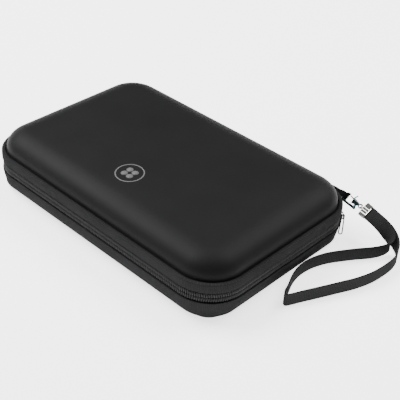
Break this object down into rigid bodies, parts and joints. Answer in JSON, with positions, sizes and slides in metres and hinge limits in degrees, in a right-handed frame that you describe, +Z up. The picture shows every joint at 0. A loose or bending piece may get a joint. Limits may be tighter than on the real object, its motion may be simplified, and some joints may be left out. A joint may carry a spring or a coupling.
{
  "type": "hard-shell carry case",
  "caption": "Slim zipped hard-shell carry case with moulded lid and base, woven zip bands, a fabric hinge and a webbing wrist strap on a snap hook.",
  "frame": {"origin": "middle of the case's footprint, on the surface it lies on", "axes": "+X along the long side towards the wrist strap, +Y towards the fabric hinge at the back, +Z up out of the lid"},
  "size_m": [0.2587, 0.1532, 0.0445],
  "materials": {
    "shell_skin": "soft matt skin over moulded foam",
    "lining": "brushed knit",
    "binding": "fine woven tape",
    "woven_band": "fine tight weave",
    "zip_tape": "fine woven tape",
    "zip_coil": "stitched nylon coil",
    "mesh": "open knitted mesh",
    "elastic": "ribbed elastic",
    "emblem_print": "grey print",
    "slider_metal": "black enamel",
    "pull_wire": "black enamel",
    "tab_ribbon": "smooth folded ribbon",
    "dark_chrome": "dark bright plating",
    "bright_steel": "polished plating",
    "webbing": "fine flat webbing"
  },
  "bodies": {
    "case_base": {"base_shell": "shell_skin", "base_lining": "lining", "base_binding": "binding", "base_band": "woven_band", "base_zip_tape": "zip_tape", "base_coil": "zip_coil", "zip_stops": "slider_metal", "spine": "woven_band", "wrist_strap": "webbing"},
    "lid": {"lid_shell": "shell_skin", "lid_lining": "lining", "lid_binding": "binding", "lid_band": "woven_band", "lid_zip_tape": "zip_tape", "lid_coil": "zip_coil", "mesh_pocket": "mesh", "pocket_elastic": "elastic", "emblem": "emblem_print", "strap_tab": "tab_ribbon", "swivel_eye": "dark_chrome", "strap_clamp": "bright_steel"},
    "slider": {"slider_body": "slider_metal", "slider_bridge": "slider_metal"},
    "pull": {"pull_loop": "pull_wire"},
    "hook": {"hook_body": "dark_chrome", "gate_pin": "bright_steel", "gate_spring": "bright_steel"},
    "gate": {"hook_gate": "dark_chrome"}
  },
  "joints": [
    {"name": "lid_open", "type": "hinge", "parent": "case_base", "child": "lid", "pos_m": [0, 0.072, 0.019], "axis": [-1, 0, 0], "range_deg": [0, 150], "deforming": ["spine", "wrist_strap"]},
    {"name": "zip_travel", "type": "hinge", "parent": "case_base", "child": "slider", "pos_m": [0.082, 0.044, 0.019], "axis": [0, 0, 1], "range_deg": [-30, 0]},
    {"name": "pull_swing", "type": "hinge", "parent": "slider", "child": "pull", "pos_m": [0.10525, 0.06216, 0.019], "axis": [0.6157, -0.788, 0], "range_deg": [0, 150]},
    {"name": "hook_swivel", "type": "hinge", "parent": "lid", "child": "hook", "pos_m": [0.096, 0.0752, 0.0255], "axis": [0.9599, 0.0503, -0.2756], "range_deg": [-15, 15]},
    {"name": "gate_open", "type": "hinge", "parent": "hook", "child": "gate", "pos_m": [0.10461, 0.07616, 0.02336], "axis": [0.2594, -0.5318, 0.8062], "range_deg": [0, 25], "stiffness_Nm_per_rad": 0.01, "springref_deg": -20.05}
  ]
}
